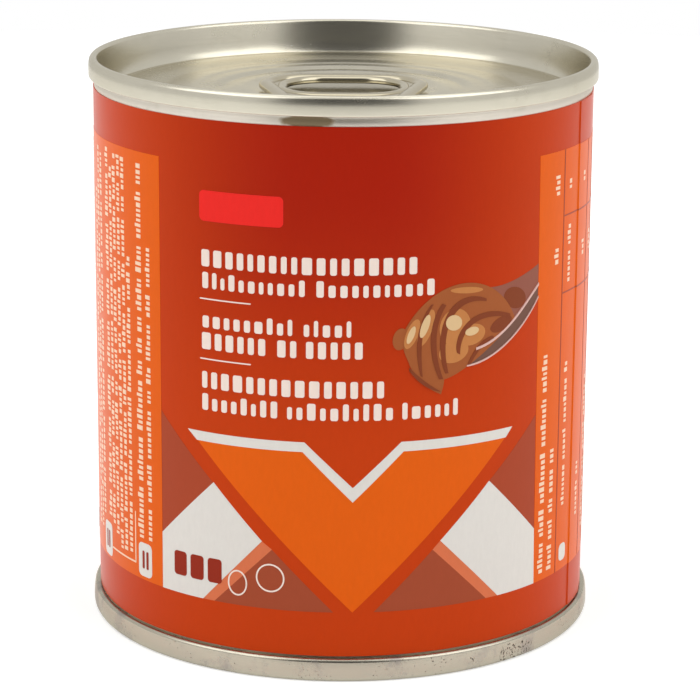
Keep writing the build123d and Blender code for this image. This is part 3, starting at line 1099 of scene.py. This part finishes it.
def backdrop():
    """A pale room with a dark opening in front of the can."""
    world = bpy.data.worlds.new("studio")
    bpy.context.scene.world = world
    world.use_nodes = True
    tree = world.node_tree
    tree.nodes.clear()
    aim = add_node(tree, "ShaderNodeTexCoord").outputs["Generated"]
    parts = add_node(tree, "ShaderNodeSeparateXYZ", {0: aim}).outputs
    level = add_node(tree, "ShaderNodeCombineXYZ", {0: parts[0], 1: parts[1]}).outputs[0]
    facing = vector_node(tree, "DOT_PRODUCT", vector_node(tree, "NORMALIZE", level), (0, -1, 0))
    dark = times(tree, ramp(tree, facing, 0.80, 0.94), ramp(tree, parts[2], -0.3, -0.16))
    dark = times(tree, dark, ramp(tree, parts[2], 0.90, 0.72))
    gleam = math_node(tree, "SUBTRACT", 1.0, times(tree, dark, OPENING))
    seen = add_node(tree, "ShaderNodeLightPath").outputs["Is Camera Ray"]
    shine = add_node(tree, "ShaderNodeBackground", {
        "Color": (1, 1, 1, 1),
        "Strength": mix(tree, seen, times(tree, gleam, SURROUND), 1.0, "FLOAT")})
    add_node(tree, "ShaderNodeOutputWorld", {"Surface": shine.outputs[0]})


def floor_finish(tone):
    """A pale floor that reads as white and keeps the can's shadow."""
    material, tree = new_material("studio_floor")
    grain = noise(tree, object_place(tree)[0], 60.0)
    path = add_node(tree, "ShaderNodeLightPath").outputs
    seen = math_node(tree, "MAXIMUM", path["Is Camera Ray"], path["Is Glossy Ray"])
    fill(tree, tree.nodes["Principled BSDF"], {
        "Base Color": mix(tree, ramp(tree, grain, 0.3, 0.7, 0.0, 0.03), tone,
                          (0.7, 0.7, 0.7, 1)),
        "Roughness": 0.8, "Specular IOR Level": 0.1, "Emission Color": (1, 1, 1, 1),
        "Emission Strength": times(tree, seen, FLOOR_GLOW)})
    return material


class CAN_OT_stage(bpy.types.Operator):
    """The floor, the light and the camera"""
    bl_idname = "can.stage"
    bl_label = "Stage"

    def execute(self, context):
        scene = context.scene
        scene.view_settings.view_transform = "Standard"
        backdrop()
        turn = np.linspace(0, 2 * np.pi, 96, endpoint=False)
        rim = FLOOR_RADIUS * np.stack([np.cos(turn), np.sin(turn), 0 * turn], -1)
        mesh = bpy.data.meshes.new("floor")
        mesh.from_pydata(rim.tolist(), [], [list(range(len(rim)))])
        mesh.materials.append(floor_finish(scene.can_colours.floor))
        floor = bpy.data.objects.new("floor", mesh)
        scene.collection.objects.link(floor)
        for lamp in LAMPS:
            softbox(*lamp)
        lens = bpy.data.cameras.new("camera")
        lens.lens, lens.sensor_width = LENS, SENSOR
        camera = bpy.data.objects.new("camera", lens)
        camera.matrix_world = (Matrix.Translation(CAMERA_PLACE)
                               @ Matrix.Rotation(-CAMERA_YAW, 4, "Z")
                               @ Matrix.Rotation(math.pi / 2 - CAMERA_DIP, 4, "X")
                               @ Matrix.Rotation(CAMERA_ROLL, 4, "Z"))
        scene.collection.objects.link(camera)
        scene.camera = camera
        return {"FINISHED"}


# ---- sidebar, registration and build ---------------------------------------------------------
OPERATORS = (CAN_OT_stage, CAN_OT_wall, CAN_OT_lid, CAN_OT_base, CAN_OT_ring_pull,
             CAN_OT_label, CAN_OT_fields, CAN_OT_lines, CAN_OT_panels, CAN_OT_spoon)
GROUPS = {"can_sizes": CanSizes, "can_pull": PullSizes, "can_label": LabelSizes,
          "can_colours": CanColours}


class CAN_PT_sidebar(bpy.types.Panel):
    """The can's pieces, sizes and colours"""
    bl_label = "Condensed milk can"
    bl_idname = "CAN_PT_sidebar"
    bl_space_type = "VIEW_3D"
    bl_region_type = "UI"
    bl_category = "Can"

    def draw(self, context):
        layout = self.layout
        for operator in OPERATORS:
            layout.operator(operator.bl_idname)
        for place, group in GROUPS.items():
            box = layout.box()
            for key in group.__annotations__:
                box.prop(getattr(context.scene, place), key)


def register():
    for group in GROUPS.values():
        bpy.utils.register_class(group)
    for place, group in GROUPS.items():
        setattr(bpy.types.Scene, place, PointerProperty(type=group))
    for cls in (*OPERATORS, CAN_PT_sidebar):
        bpy.utils.register_class(cls)


def unregister():
    for cls in reversed((*OPERATORS, CAN_PT_sidebar)):
        bpy.utils.unregister_class(cls)
    for place, group in GROUPS.items():
        delattr(bpy.types.Scene, place)
        bpy.utils.unregister_class(group)


def main():
    register()
    for operator in OPERATORS:
        area, name = operator.bl_idname.split(".")
        getattr(getattr(bpy.ops, area), name)()


if __name__ == "__main__":
    main()
